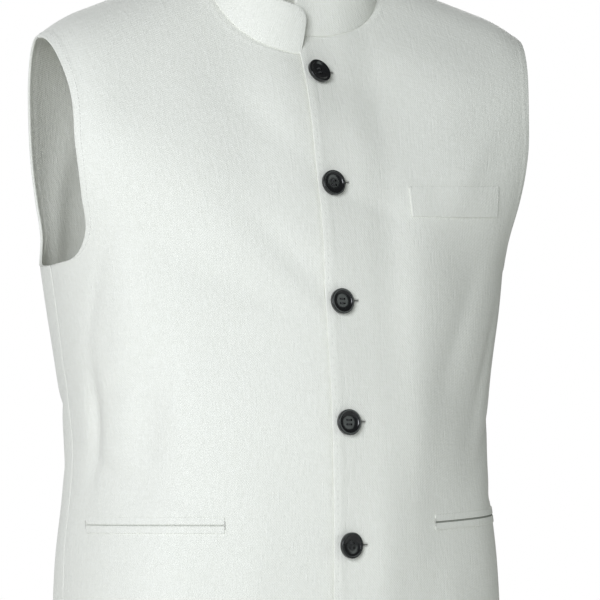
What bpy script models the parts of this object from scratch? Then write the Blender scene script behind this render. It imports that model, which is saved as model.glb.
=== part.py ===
"""A Nehru jacket: sleeveless, hip length, with a standing band collar and five buttons.

It is hollow and keeps the shape it has when worn, on a plain general figure that isn't there.
Metres. +Z is up, -Y is the front and +X is the wearer's left. The origin lies midway between the two
points where the shoulder seams meet the collar.

Every piece of cloth is a wall made from one form, which the functions under "The form" give:
a place on it is (angle, height). The angle runs from 0 on the middle line to 90 at the side, and is
negative on the wearer's right. The height is -1 at the hem, 0 on the chest line and pi/2 on the shoulder.
"""

import math

import bmesh
import bpy
import numpy as np
from mathutils import Matrix, Vector

# Cloth and seams
CLOTH = 0.0024              # wall of a front or back: cloth, canvas and turnings together
COLLAR_CLOTH = 0.0028
SEAM_GAP = 0.0003
COLLAR_GAP = 0.0005         # under the collar: its faces and the panels' bulge a little between rows
LAP_GAP = 0.0006            # between the two fronts where one laps the other
PATCH_GAP = 0.0005          # between a panel and the welt or button on it

# Heights
CHEST_Z = -0.260
HEM_Z = -0.648

# Shoulders and neck
TOP_HALF_WIDTH = 0.243      # the form's half width, carried up to the shoulder line
SHOULDER_SLOPE = 0.385
SHOULDER_ROUNDING = 0.015
SHOULDER_DROOP = 0.009      # how far the shoulder line rounds off at its end
SHOULDER_DROOP_X = (0.183, 0.223)
SHOULDER_TILT = 0.050       # the wearer's left shoulder is the higher one
NECK_HALF_WIDTH = 0.080
NECK_SQUARENESS = 2.2       # of the neckline, seen from in front
SHOULDER_FORWARD = -0.022   # where the shoulder line would be at the form's full half width
NAPE_RISE = 0.045           # how much further the form reaches up behind the neck
NAPE_Z = 0.014
LEFT_NECK_Z = -0.067        # the fronts' necklines at the middle: the left one is pulled higher
RIGHT_NECK_Z = -0.084
COLLAR_HEIGHT = 0.040
COLLAR_LEAN = math.radians(9)
COLLAR_CLOSING = math.radians(8)
COLLAR_EASING = (1, 2, 3, 4, 3, 2, 1)  # evens out the collar's lean over this many points
COLLAR_CORNER = 0.014
COLLAR_END_GAP = 0.0030

# Front edges, measured across from the middle line
LEFT_EDGE_X = -0.0120       # the left front laps over the right one and ends here
RIGHT_EDGE_X = 0.0200       # the right front ends here, under the left one
LAP_FLAT_X = 0.026          # the left front lies proud of the form as far as this
LAP_END_X = 0.060           # and is back on it here
PROW = 0.085                # how keenly the two fronts meet at the edge
PROW_ROUNDING = 0.030

# The form's level sections: its half width, its depths before and behind the shoulder line,
# and how far behind that line the side seam lies.
SECTIONS = (
    # level    z       half    front   back    seam
    ("chest", -0.260, 0.2000, 0.1195, 0.1120, 0.0040),
    ("ribs", -0.330, 0.1885, 0.1287, 0.1035, 0.0050),
    ("waist", -0.400, 0.1800, 0.1362, 0.0950, 0.0060),
    ("hip", -0.500, 0.1870, 0.1397, 0.1020, 0.0010),
    ("hem", -0.648, 0.1980, 0.1385, 0.1140, -0.0030),
)
FRONT_SQUARENESS = 2.5      # 2 would be an ellipse
SHOULDER_SQUARENESS = 3.2   # of the front above SQUARE_FROM, as a share of chest to shoulder
SQUARE_FROM = 0.55
BACK_SQUARENESS = 2.6

# How full the form stays just below the shoulder line: less is straighter from there to the chest
FRONT_FULLNESS_MIDDLE = 0.40
FRONT_FULLNESS_SIDE = 1.30
BACK_FULLNESS = 2.20
MIDDLE_REACH = 0.35         # how far the middle's fullness spreads, as a share of the half width

# The armhole's edge, from the underarm to the shoulder: the angles at shares of the way up
ARMHOLE = (
    # share   front  back
    (0.020, 90.0, 90.0),
    (0.045, 76.0, 76.0),
    (0.150, 69.0, 67.0),
    (0.300, 68.0, 64.0),
    (0.500, 65.8, 62.5),
    (0.760, 61.8, 62.5),
    (1.000, 65.7, 65.7),
)

# The largest folds: soft troughs (depth below 0) and ridges, each along a line on the cloth.
# Around is 0 at the middle of the front, 90 at the wearer's left side and 180 behind.
FOLDS = (
    # around  z      length  slant  width   depth
    (-56.0, -0.385, 0.100, 80.0, 0.022, -0.0050),
    (-37.0, -0.335, 0.150, 12.0, 0.030, -0.0025),
    (-21.0, -0.215, 0.170, -35.0, 0.045, 0.0030),
    (21.0, -0.130, 0.150, -42.0, 0.035, -0.0030),
    (48.0, -0.400, 0.160, 75.0, 0.030, -0.0030),
    (-150.0, -0.400, 0.160, -12.0, 0.028, -0.0030),
    (150.0, -0.400, 0.160, 12.0, 0.028, -0.0030),
    (-146.0, -0.130, 0.130, -62.0, 0.030, -0.0025),
    (146.0, -0.130, 0.130, 62.0, 0.030, -0.0025),
)
DEGREE_WIDTH = 0.0030       # how far round the body a degree reaches

# Grid of a panel: lines across it and up it
FRONT_COLUMNS = 20
BACK_COLUMNS = 15
LOWER_ROWS = 16
EDGE_ROWS = 7               # from the underarm's level up to the neckline, on the middle line
NECK_ROWS = 8
ARMHOLE_ROWS = EDGE_ROWS + NECK_ROWS
NECK = slice(LOWER_ROWS + EDGE_ROWS, None)
BELOW_NECK = slice(0, LOWER_ROWS + EDGE_ROWS + 1)
BELOW_ARMHOLE = slice(0, LOWER_ROWS + 1)
FRONT_CROWDING = 1.2        # above 1, the lines up a front are closer near its edge
COLLAR_ROWS = 4
COLLAR_CORNER_PARTS = 4

# Buttons, on the middle line. A loose one tips on its thread.
BUTTONS = (
    # z       turn   tip
    (-0.1005, 12.0, -3.0),
    (-0.1930, 3.0, 2.0),
    (-0.2898, 6.0, 0.0),
    (-0.3878, 2.0, 0.0),
    (-0.4858, 12.0, 0.0),
)
BUTTON_RADIUS = 0.0105
BUTTON_SIDES = 24
BUTTON_MERGE = 1e-5
BUTTON_PROFILE = (          # radius as a share of the button's, and height above the cloth
    (0.00, 0.0005),
    (0.26, 0.0005),
    (0.26, 0.0016),
    (0.80, 0.0016),
    (0.97, 0.0025),
    (1.00, 0.0036),
    (0.93, 0.0048),
    (0.80, 0.0050),
    (0.66, 0.0040),
    (0.00, 0.0037),
)

# Welts, each a strip that lies on a front: its inner end, true length, rise to the outer end and height
WELTS = (
    # name                    side  x      z       length  rise    height  thickness
    ("chest_welt", 1, 0.073, -0.2045, 0.098, 0.0060, 0.0250, 0.0016),
    ("hip_jet_upper_left", 1, 0.086, -0.4645, 0.130, 0.0070, 0.0058, 0.0012),
    ("hip_jet_lower_left", 1, 0.086, -0.4713, 0.130, 0.0070, 0.0058, 0.0012),
    ("hip_jet_upper_right", -1, 0.098, -0.4665, 0.130, 0.0000, 0.0058, 0.0012),
    ("hip_jet_lower_right", -1, 0.098, -0.4733, 0.130, 0.0000, 0.0058, 0.0012),
)
WELT_COLUMNS = 12
WELT_ROUNDS = 10            # of finding where a welt of that length ends

# Finishes: colour as sRGB hex, roughness, metallic
FINISHES = {
    "ivory_cloth": ("E9E9E0", 0.85, 0.0),
    "black_button": ("0B0C0D", 0.22, 0.0),
}

# Working steps and counts for the form
ANGLE_STEP = 1e-3           # degrees, either side of a point, for finding normals
HEIGHT_STEP = 1e-5
LOCATING_ROUNDS = 12
KNOT_SAMPLES = 20           # from one row of ARMHOLE to the next
NECK_SAMPLES = 200
SHARP_ANGLE = math.radians(40)

FRONT, BACK = -1, 1
SHOULDER = math.pi / 2      # the height of the shoulder line
LEVELS = np.array([row[1] for row in SECTIONS])[::-1]
SIZES = np.array([row[2:] for row in SECTIONS])[::-1]
SLOPES = np.gradient(SIZES, LEVELS, axis=0)
CHEST_HALF, CHEST_FRONT, CHEST_BACK, CHEST_SEAM = SIZES[-1]
CHEST_SLOPES = SLOPES[-1]


# ---------------------------------------------------------------- the form

def hermite(t, start, end, start_slope, end_slope):
    """A cubic that runs from start at t = 0 to end at t = 1 with those slopes."""
    return (
        (2 * t**3 - 3 * t**2 + 1) * start
        + (t**3 - 2 * t**2 + t) * start_slope
        + (3 * t**2 - 2 * t**3) * end
        + (t**3 - t**2) * end_slope
    )


def section(z):
    """The form's half width, front depth, back depth and side seam at heights up to the chest line."""
    z = np.clip(z, LEVELS[0], LEVELS[-1])
    k = np.clip(np.searchsorted(LEVELS, z, side="right") - 1, 0, len(LEVELS) - 2)
    span = LEVELS[k + 1] - LEVELS[k]
    t = ((z - LEVELS[k]) / span)[..., None]
    span = span[..., None]
    found = hermite(t, SIZES[k], SIZES[k + 1], SLOPES[k] * span, SLOPES[k + 1] * span)
    return np.moveaxis(found, -1, 0)


def unit(vectors):
    return vectors / np.linalg.norm(vectors, axis=-1, keepdims=True)


def smooth_step(t):
    t = np.clip(t, 0, 1)
    return t * t * (3 - 2 * t)


def shoulder_line(x, side):
    """Height of the shoulder line at x. Inside the neck, the form reaches higher behind than in front."""
    neck = math.hypot(SHOULDER_ROUNDING, SHOULDER_SLOPE * NECK_HALF_WIDTH)
    line = neck - np.hypot(SHOULDER_ROUNDING, SHOULDER_SLOPE * x)
    start, end = SHOULDER_DROOP_X
    line = line - SHOULDER_DROOP * np.clip((np.abs(x) - start) / (end - start), 0, None) ** 2
    inside = np.clip(1 - (x / NECK_HALF_WIDTH) ** 2, 0, 1)
    return line + (NAPE_RISE * inside**1.5 if side == BACK else 0)


def form(angle, height, side):
    """Points of the form, as an array of x, y, z. Angles are in degrees."""
    angle, height = np.broadcast_arrays(np.asarray(angle, float), np.asarray(height, float))
    across = np.sin(np.radians(angle))
    reach = np.abs(across)
    rise = np.sin(np.clip(height, 0, SHOULDER))
    level = CHEST_Z + np.minimum(height, 0) * (CHEST_Z - HEM_Z)
    half, front, back, seam = section(level)
    climb = shoulder_line(TOP_HALF_WIDTH * across, side) - CHEST_Z
    half_slope, front_slope, back_slope, seam_slope = CHEST_SLOPES
    x = across * hermite(rise, half, TOP_HALF_WIDTH, half_slope * climb, 0)
    y = hermite(rise, seam, SHOULDER_FORWARD * reach**2, seam_slope * climb, 0)
    if side == FRONT:
        depth = front + seam
        slope = (front_slope + seam_slope) / depth
        middling = np.exp(-((reach / MIDDLE_REACH) ** 2))
        fullness = FRONT_FULLNESS_SIDE + (FRONT_FULLNESS_MIDDLE - FRONT_FULLNESS_SIDE) * middling
        off = across - LEFT_EDGE_X / CHEST_HALF
        keel = np.hypot(off, PROW_ROUNDING) - PROW_ROUNDING
        square = hermite(np.minimum(rise / SQUARE_FROM, 1), FRONT_SQUARENESS, SHOULDER_SQUARENESS, 0, 0)
        outline = (1 - reach**square) ** (1 / square) - PROW * keel * (1 - reach**2)
    else:
        depth = back - seam
        slope = (back_slope - seam_slope) / depth
        fullness = BACK_FULLNESS
        outline = (1 - reach**BACK_SQUARENESS) ** (1 / BACK_SQUARENESS)
    fall = hermite(rise, 0, 1, -2 * slope * climb, fullness)
    y = y + side * depth * outline * np.sqrt(np.clip(1 - fall, 0, 1))
    z = level + rise * climb + SHOULDER_TILT * x * smooth_step(rise)
    return np.stack([x, y, z], axis=-1)


def normals_of(surface, angle, height, side):
    """Outward unit normals of a surface that is given as a function of angle, height and side."""
    angle, height = np.broadcast_arrays(np.asarray(angle, float), np.asarray(height, float))
    right, left = np.maximum(angle - ANGLE_STEP, -90), np.minimum(angle + ANGLE_STEP, 90)
    below, above = height - HEIGHT_STEP, np.minimum(height + HEIGHT_STEP, SHOULDER)
    round_it = surface(left, height, side) - surface(right, height, side)
    up_it = surface(angle, above, side) - surface(angle, below, side)
    return unit(np.cross(round_it, up_it)) * (1 if side == FRONT else -1)


def fold_depth(angle, height, side, z):
    """How far the folds move each point out (or in, below 0). They fade out at the shoulder seam."""
    around = angle if side == FRONT else np.copysign(180, angle) - angle
    moved = np.zeros(np.shape(z))
    for middle, level, length, slant, width, depth in FOLDS:
        round_it, up_it = (around - middle) * DEGREE_WIDTH, z - level
        turn = math.radians(slant)
        along = round_it * math.cos(turn) + up_it * math.sin(turn)
        across = up_it * math.cos(turn) - round_it * math.sin(turn)
        moved += depth * np.exp(-((2 * along / length) ** 2) - (across / width) ** 2)
    return moved * (1 - np.sin(np.clip(height, 0, SHOULDER)) ** 8)


def lap(points):
    """How far the left front stands proud of the form, to lie over the right one."""
    inward = smooth_step((points[..., 0] - LAP_FLAT_X) / (LAP_END_X - LAP_FLAT_X))
    return (CLOTH + LAP_GAP) * (1 - inward)


def cloth(angle, height, side):
    """The middle of the cloth: the form with its folds."""
    base = form(angle, height, side)
    moved = fold_depth(angle, height, side, base[..., 2])
    return base + normals_of(form, angle, height, side) * moved[..., None]


def lapped(angle, height, side):
    """The middle of the left front's cloth, which lies over the right front at the edge."""
    base = cloth(angle, height, side)
    return base + normals_of(form, angle, height, side) * lap(base)[..., None]


def locate(x, level, side):
    """The angle and height on the form of points at x and a level, which is z before the shoulders tilt.

    The half width there depends on the angle, so they are found in a few rounds.
    """
    x, level = np.broadcast_arrays(np.asarray(x, float), np.asarray(level, float))
    start = section(level)[0]
    half = start
    for _ in range(LOCATING_ROUNDS):
        across = np.clip(x / half, -1, 1)
        climb = shoulder_line(TOP_HALF_WIDTH * across, side) - CHEST_Z
        rise = np.clip((level - CHEST_Z) / climb, 0, 1)
        half = hermite(rise, start, TOP_HALF_WIDTH, CHEST_SLOPES[0] * climb, 0)
    low = np.clip((level - CHEST_Z) / (CHEST_Z - HEM_Z), -1, 0)
    return np.degrees(np.arcsin(across)), np.where(rise > 0, np.arcsin(rise), low)


# ---------------------------------------------------------------- outlines of the panels

def spaced(places, surface, side, count):
    """A line of places on the surface, spaced anew so that its parts are equally long."""
    points = surface(places[:, 0], places[:, 1], side)
    lengths = np.concatenate([[0], np.cumsum(np.linalg.norm(np.diff(points, axis=0), axis=1))])
    wanted = np.linspace(0, lengths[-1], count + 1)
    return np.stack([np.interp(wanted, lengths, places[:, k]) for k in (0, 1)], axis=1)


def armhole(side):
    """Places along the armhole of the wearer's left, from the underarm up to the shoulder."""
    column = 1 if side == FRONT else 2
    knots = np.array([(row[column], math.asin(row[0])) for row in ARMHOLE])
    slopes = np.gradient(knots, axis=0)
    t = np.linspace(0, 1, KNOT_SAMPLES)[:, None, None]
    pieces = hermite(t, knots[:-1], knots[1:], slopes[:-1], slopes[1:])
    return spaced(pieces.transpose(1, 0, 2).reshape(-1, 2), form, side, ARMHOLE_ROWS)


def neckline(side, start_x, middle_z):
    """Places along a neckline of the wearer's left, from start_x near the middle out to the shoulder."""
    turn = np.linspace(math.asin(start_x / NECK_HALF_WIDTH), math.pi / 2, NECK_SAMPLES)
    x = NECK_HALF_WIDTH * np.sin(turn)
    if side == FRONT:
        across = np.abs(x / NECK_HALF_WIDTH)
        level = middle_z * (1 - across**NECK_SQUARENESS) ** (1 / NECK_SQUARENESS)
    else:
        level = middle_z * shoulder_line(x, FRONT) / shoulder_line(0.0, FRONT)
    places = np.stack(locate(x, level, side), axis=1)
    places[-1, 1] = SHOULDER
    lowest = places[:, 1].argmin()
    places[:lowest, 1] = places[lowest, 1]
    return spaced(places, form, side, NECK_ROWS)


def panel_places(side, edge_x, middle_z, columns, crowding):
    """The (angle, height) of every grid point of a panel of the wearer's left, row by row from the hem."""
    underarm = math.asin(ARMHOLE[0][0])
    neck = neckline(side, edge_x, middle_z)
    lower = np.linspace(-1, underarm, LOWER_ROWS + 1)[:-1]
    edge = np.linspace(underarm, neck[0, 1], EDGE_ROWS + 1)[:-1]
    inner_heights = np.concatenate([lower, edge])
    half = form(90, inner_heights, side)[:, 0]
    inner_angles = np.degrees(np.arcsin(edge_x / half))
    inner = np.concatenate([np.stack([inner_angles, inner_heights], axis=1), neck])
    outer = np.concatenate([np.stack([np.full(len(lower), 90.0), lower], axis=1), armhole(side)])
    share = (np.linspace(0, 1, columns + 1) ** crowding)[None, :, None]
    return inner[:, None] + (outer - inner)[:, None] * share


# ---------------------------------------------------------------- making walls

def finish(name):
    """The material of that name, made the first time it is asked for."""
    found = bpy.data.materials.get(name)
    if found:
        return found
    colour, roughness, metallic = FINISHES[name]
    srgb = [int(colour[k : k + 2], 16) / 255 for k in (0, 2, 4)]
    linear = [c / 12.92 if c <= 0.04045 else ((c + 0.055) / 1.055) ** 2.4 for c in srgb]
    made = bpy.data.materials.new(name)
    made.use_nodes = True
    shader = made.node_tree.nodes["Principled BSDF"]
    shader.inputs["Base Color"].default_value = (*linear, 1)
    shader.inputs["Roughness"].default_value = roughness
    shader.inputs["Metallic"].default_value = metallic
    return made


def add_object(name, mesh, material):
    mesh.materials.append(finish(material))
    mesh.shade_smooth()
    mesh.set_sharp_from_angle(angle=SHARP_ANGLE)
    made = bpy.data.objects.new(name, mesh)
    bpy.context.scene.collection.objects.link(made)
    return made


def add_wall(name, outer, inner, material="ivory_cloth"):
    """A closed wall between two grids of points, with a rim round their edge."""
    rows, columns = outer.shape[:2]
    built = bmesh.new()
    faces = []
    grids = []
    for points in (outer, inner):
        grids.append([[built.verts.new(Vector(point)) for point in row] for row in points])
    for r in range(rows - 1):
        for c in range(columns - 1):
            for grid in grids:
                faces.append((grid[r][c], grid[r][c + 1], grid[r + 1][c + 1], grid[r + 1][c]))
    rim = [(0, c) for c in range(columns - 1)]
    rim += [(r, columns - 1) for r in range(rows - 1)]
    rim += [(rows - 1, c) for c in range(columns - 1, 0, -1)]
    rim += [(r, 0) for r in range(rows - 1, 0, -1)]
    for (r, c), (r_next, c_next) in zip(rim, rim[1:] + rim[:1]):
        faces.append((grids[0][r][c], grids[0][r_next][c_next], grids[1][r_next][c_next], grids[1][r][c]))
    for corners in faces:
        built.faces.new(corners)
    bmesh.ops.recalc_face_normals(built, faces=built.faces)
    mesh = bpy.data.meshes.new(name)
    built.to_mesh(mesh)
    built.free()
    return add_object(name, mesh, material)


def draw_back(points, normal, edge):
    """Moves one edge of a grid inwards, square to that edge, by half a seam's gap."""
    at, inside = {
        "side": ((BELOW_ARMHOLE, -1), (BELOW_ARMHOLE, -2)),
        "shoulder": ((-1, slice(None)), (-2, slice(None))),
        "middle": ((BELOW_NECK, 0), (BELOW_NECK, 1)),
    }[edge]
    inward = np.cross(np.gradient(points[at], axis=0), normal[at])
    inward *= np.sign((inward * (points[inside] - points[at])).sum(-1, keepdims=True))
    points[at] += unit(inward) * SEAM_GAP / 2


def panel_shape(side, edge_x, middle_z, columns, crowding, right, surface=cloth):
    """The grid of the middle of a panel's cloth, and its outward normals."""
    places = panel_places(side, edge_x, middle_z, columns, crowding)
    angle, height = places[..., 0] * (-1 if right else 1), places[..., 1]
    return surface(angle, height, side), normals_of(surface, angle, height, side)


def neck_ring(shapes):
    """The neckline from the right front's edge round to the left front's, with the collar's joint to it.

    It gives the points, half the joint for a wall 1 thick, the collar's way up and its way out.
    """
    points, normals = [], []
    for k, (middle, normal) in enumerate(shapes):
        order = slice(None, None, -1 if k % 2 else 1)
        skipped = slice(1 if k else 0, None)
        points.append(middle[NECK, 0][order][skipped])
        normals.append(normal[NECK, 0][order][skipped])
    points, normals = np.concatenate(points), np.concatenate(normals)
    tangents = unit(np.gradient(points, axis=0))
    inward = unit(points * np.array([-1.0, -1.0, 0.0]))
    up = np.array([0.0, -math.tan(COLLAR_LEAN), 1.0]) + math.tan(COLLAR_CLOSING) * inward
    up = unit(up - tangents * (up * tangents).sum(-1, keepdims=True))
    padded = np.pad(up, ((len(COLLAR_EASING) // 2,) * 2, (0, 0)), mode="edge")
    up = unit(sum(share * padded[k : k + len(up)] for k, share in enumerate(COLLAR_EASING)))
    outward = np.cross(tangents, up)
    outward *= np.sign((outward * normals).sum(-1, keepdims=True))
    joints = (normals + outward) / (1 + (normals * outward).sum(-1, keepdims=True)) / 2
    return points, joints, up, outward


def panel(name, shape, joints, side):
    """One front or half back, as a wall round the middle of its cloth."""
    middle, normal = shape
    half_wall = normal * CLOTH / 2
    half_wall[NECK, 0] = joints * CLOTH
    outer, inner = middle + half_wall, middle - half_wall
    for points in (outer, inner):
        draw_back(points, normal, "side")
        draw_back(points, normal, "shoulder")
        if side == BACK:
            draw_back(points, normal, "middle")
    add_wall(name, outer, inner)


def collar(ring):
    """The band, which stands on the neckline. Its ends all but meet at the left front's edge."""
    points = ring[0]
    along = np.concatenate([[0], np.cumsum(np.linalg.norm(np.diff(points, axis=0), axis=1))])
    first = np.interp(COLLAR_END_GAP - LEFT_EDGE_X, -points[: NECK_ROWS + 1, 0], along[: NECK_ROWS + 1])
    corner = COLLAR_CORNER * (1 - np.cos(np.linspace(0, math.pi / 2, COLLAR_CORNER_PARTS + 1)))
    wanted = np.concatenate([along[along > first + COLLAR_CORNER], first + corner, along[-1] - corner])
    wanted = np.unique(wanted.round(7))
    base, joint, up, outward = (
        np.stack([np.interp(wanted, along, values[:, k]) for k in range(3)], axis=1) for values in ring
    )
    to_end = np.minimum(wanted - wanted[0], wanted[-1] - wanted)
    short = np.clip(COLLAR_CORNER - to_end, 0, COLLAR_CORNER)
    height = COLLAR_HEIGHT - COLLAR_CORNER + np.sqrt(COLLAR_CORNER**2 - short**2)
    outer, inner = [], []
    for share in np.linspace(0, 1, COLLAR_ROWS + 1):
        line = base + up * (COLLAR_GAP + share * height)[:, None]
        half_wall = (joint if share == 0 else outward / 2) * COLLAR_CLOTH
        outer.append(line + half_wall)
        inner.append(line - half_wall)
    add_wall("collar", np.array(outer), np.array(inner))


# ---------------------------------------------------------------- what lies on the fronts

def outer_face(angle, height, wearers_left):
    """Points on the outside of a front, and the way out."""
    surface = lapped if wearers_left else cloth
    normal = normals_of(surface, angle, height, FRONT)
    return surface(angle, height, FRONT) + normal * CLOTH / 2, normal


def welt(name, sign, start, level, length, rise, height, thickness):
    """A strip of cloth on a front, from its inner end outwards round the body."""
    half = section(level)[0]
    share = np.linspace(0, 1, WELT_COLUMNS + 1)
    first = math.asin(start / half)
    last = math.pi / 2
    for _ in range(WELT_ROUNDS):
        x = sign * half * np.sin(first + (last - first) * share)
        line = outer_face(*locate(x, level + rise * share, FRONT), sign > 0)[0]
        reached = np.linalg.norm(np.diff(line, axis=0), axis=1).sum()
        last = first + (last - first) * length / reached
    levels = level + rise * share + np.array([[-0.5], [0.0], [0.5]]) * height
    points, normal = outer_face(*locate(x, levels, FRONT), sign > 0)
    add_wall(name, points + normal * (PATCH_GAP + thickness), points + normal * PATCH_GAP)


def button(name, z, turn, tip):
    """A round button with a raised rim, on a short shank of thread."""
    centre, normal = (Vector(found) for found in outer_face(*locate(0.0, z, FRONT), True))
    built = bmesh.new()
    profile = [built.verts.new((BUTTON_RADIUS * radius, 0, rise)) for radius, rise in BUTTON_PROFILE]
    edges = [built.edges.new(pair) for pair in zip(profile, profile[1:])]
    bmesh.ops.spin(
        built,
        geom=profile + edges,
        cent=(0, 0, 0),
        axis=(0, 0, 1),
        angle=math.tau,
        steps=BUTTON_SIDES,
        use_merge=True,
    )
    bmesh.ops.remove_doubles(built, verts=built.verts, dist=BUTTON_MERGE)
    bmesh.ops.recalc_face_normals(built, faces=built.faces)
    mesh = bpy.data.meshes.new(name)
    built.to_mesh(mesh)
    built.free()
    made = add_object(name, mesh, "black_button")
    lift = BUTTON_RADIUS * math.sin(math.radians(math.hypot(turn, tip))) / 2
    tipped = Matrix.Rotation(math.radians(turn), 3, "Z") @ Matrix.Rotation(math.radians(tip), 3, "X")
    facing = (tipped @ normal).to_track_quat("Z", "Y").to_matrix().to_4x4()
    made.matrix_world = Matrix.Translation(centre + normal * lift) @ facing


def jacket():
    """Clears the scene and makes every piece."""
    for old in list(bpy.data.objects):
        bpy.data.objects.remove(old)
    names = ("front_right", "back_right", "back_left", "front_left")
    sides = (FRONT, BACK, BACK, FRONT)
    shapes = (
        panel_shape(FRONT, -RIGHT_EDGE_X, RIGHT_NECK_Z, FRONT_COLUMNS, FRONT_CROWDING, True),
        panel_shape(BACK, 0.0, NAPE_Z, BACK_COLUMNS, 1.0, True),
        panel_shape(BACK, 0.0, NAPE_Z, BACK_COLUMNS, 1.0, False),
        panel_shape(FRONT, LEFT_EDGE_X, LEFT_NECK_Z, FRONT_COLUMNS, FRONT_CROWDING, False, lapped),
    )
    ring = neck_ring(shapes)
    for k, (name, shape, side) in enumerate(zip(names, shapes, sides)):
        joints = ring[1][k * NECK_ROWS : (k + 1) * NECK_ROWS + 1]
        panel(name, shape, joints[:: -1 if k % 2 else 1], side)
    collar(ring)
    for row in WELTS:
        welt(*row)
    for k, row in enumerate(BUTTONS):
        button(f"button_{k + 1}", *row)


jacket()
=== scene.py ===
"""The looks of an ivory Nehru jacket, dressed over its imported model.

Metres. +Z is up, -Y is the front and +X is the wearer's left. Every piece of cloth is a thin shell on the
form that its solid has: a place on the form is (angle, height). The angle runs from 0 on the middle line to
90 at the side, and is negative on the wearer's right. The height is -1 at the hem, 0 on the chest line and
pi/2 on the shoulder.
"""

import math

import bmesh
import bpy
import numpy as np
from mathutils import Matrix, Vector


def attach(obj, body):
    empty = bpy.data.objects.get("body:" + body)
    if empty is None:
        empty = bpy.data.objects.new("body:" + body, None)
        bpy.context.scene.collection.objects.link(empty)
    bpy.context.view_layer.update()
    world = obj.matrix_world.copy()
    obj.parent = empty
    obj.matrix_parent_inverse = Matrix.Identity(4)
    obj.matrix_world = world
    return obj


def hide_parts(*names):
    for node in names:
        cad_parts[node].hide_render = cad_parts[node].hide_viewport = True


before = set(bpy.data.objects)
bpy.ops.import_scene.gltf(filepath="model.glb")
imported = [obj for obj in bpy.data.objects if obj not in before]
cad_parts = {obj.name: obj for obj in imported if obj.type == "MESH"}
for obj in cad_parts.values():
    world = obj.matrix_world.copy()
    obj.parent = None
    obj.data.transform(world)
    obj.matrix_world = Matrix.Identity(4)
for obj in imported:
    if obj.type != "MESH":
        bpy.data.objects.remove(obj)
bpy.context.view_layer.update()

# -------- the jacket's own sizes

CLOTH = 0.0024              # wall of a front or back: cloth, canvas and turnings together
COLLAR_CLOTH = 0.0028
LAP_GAP = 0.0006            # between the two fronts where one laps the other
PATCH_GAP = 0.0001          # between a panel and the welt on it
WELT_WALL = 0.0010
JET_WALL = 0.0007

CHEST_Z = -0.260
HEM_Z = -0.648

TOP_HALF_WIDTH = 0.243      # the form's half width, carried up to the shoulder line
SHOULDER_SLOPE = 0.385
SHOULDER_ROUNDING = 0.015
SHOULDER_DROOP = 0.009      # how far the shoulder line rounds off at its end
SHOULDER_DROOP_X = (0.183, 0.223)
SHOULDER_TILT = 0.050       # the wearer's left shoulder is the higher one
NECK_HALF_WIDTH = 0.080
NECK_SQUARENESS = 2.2       # of the neckline, seen from in front
SHOULDER_FORWARD = -0.022   # where the shoulder line would be at the form's full half width
NAPE_RISE = 0.045           # how much further the form reaches up behind the neck
NAPE_CURVE = 1.5            # how late that rise starts, in from the neck's side
NAPE_Z = 0.014
LEFT_NECK_Z = -0.067        # the fronts' necklines at the middle: the left one is pulled higher
RIGHT_NECK_Z = -0.084
COLLAR_HEIGHT = 0.040
COLLAR_LEAN = math.radians(9)
COLLAR_CLOSING = math.radians(8)
COLLAR_EASING = 0.045       # evens out the collar's lean over this much of its length, each way
COLLAR_CORNER = 0.014
COLLAR_TUCK = 0.0008        # how far the right half's end goes in under the left front's edge

LEFT_EDGE_X = -0.0120       # the left front laps over the right one and ends here
RIGHT_EDGE_X = 0.0200       # the right front ends here, under the left one
LAP_FLAT_X = 0.026          # the left front lies proud of the form as far as this
LAP_END_X = 0.060           # and is back on it here
PROW = 0.085                # how keenly the two fronts meet at the edge
PROW_ROUNDING = 0.030

# The form's level sections: its half width, its depths before and behind the shoulder line,
# and how far behind that line the side seam lies.
SECTIONS = (
    # level    z       half    front   back    seam
    ("chest", -0.260, 0.2000, 0.1195, 0.1120, 0.0040),
    ("ribs", -0.330, 0.1885, 0.1287, 0.1035, 0.0050),
    ("waist", -0.400, 0.1800, 0.1362, 0.0950, 0.0060),
    ("hip", -0.500, 0.1870, 0.1397, 0.1020, 0.0010),
    ("hem", -0.648, 0.1980, 0.1385, 0.1140, -0.0030),
)
FRONT_SQUARENESS = 2.5      # 2 would be an ellipse
SHOULDER_SQUARENESS = 3.2   # of the front above SQUARE_FROM, as a share of chest to shoulder
SQUARE_FROM = 0.55
BACK_SQUARENESS = 2.6

# How full the form stays just below the shoulder line: less is straighter from there to the chest
FRONT_FULLNESS_MIDDLE = 0.40
FRONT_FULLNESS_SIDE = 1.30
BACK_FULLNESS = 2.20
MIDDLE_REACH = 0.35         # how far the middle's fullness spreads, as a share of the half width

# The armhole's edge, from the underarm to the shoulder: the angles at shares of the way up
ARMHOLE = (
    # share   front  back
    (0.020, 90.0, 90.0),
    (0.045, 76.0, 76.0),
    (0.150, 69.0, 67.0),
    (0.300, 68.0, 64.0),
    (0.500, 65.8, 62.5),
    (0.760, 61.8, 62.5),
    (1.000, 65.7, 65.7),
)

# Folds: soft troughs (depth below 0) and ridges, each along a line on the cloth.
# Around is 0 at the middle of the front, 90 at the wearer's left side and 180 behind.
FOLDS = (
    # around  z      length  slant  width   depth
    (-56.0, -0.385, 0.100, 80.0, 0.022, -0.0050),
    (-37.0, -0.335, 0.150, 12.0, 0.030, -0.0025),
    (-21.0, -0.215, 0.170, -35.0, 0.045, 0.0030),
    (21.0, -0.130, 0.150, -42.0, 0.035, -0.0030),
    (48.0, -0.400, 0.160, 75.0, 0.030, -0.0030),
    (-150.0, -0.400, 0.160, -12.0, 0.028, -0.0030),
    (150.0, -0.400, 0.160, 12.0, 0.028, -0.0030),
    (-146.0, -0.130, 0.130, -62.0, 0.030, -0.0025),
    (146.0, -0.130, 0.130, 62.0, 0.030, -0.0025),
)

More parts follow.
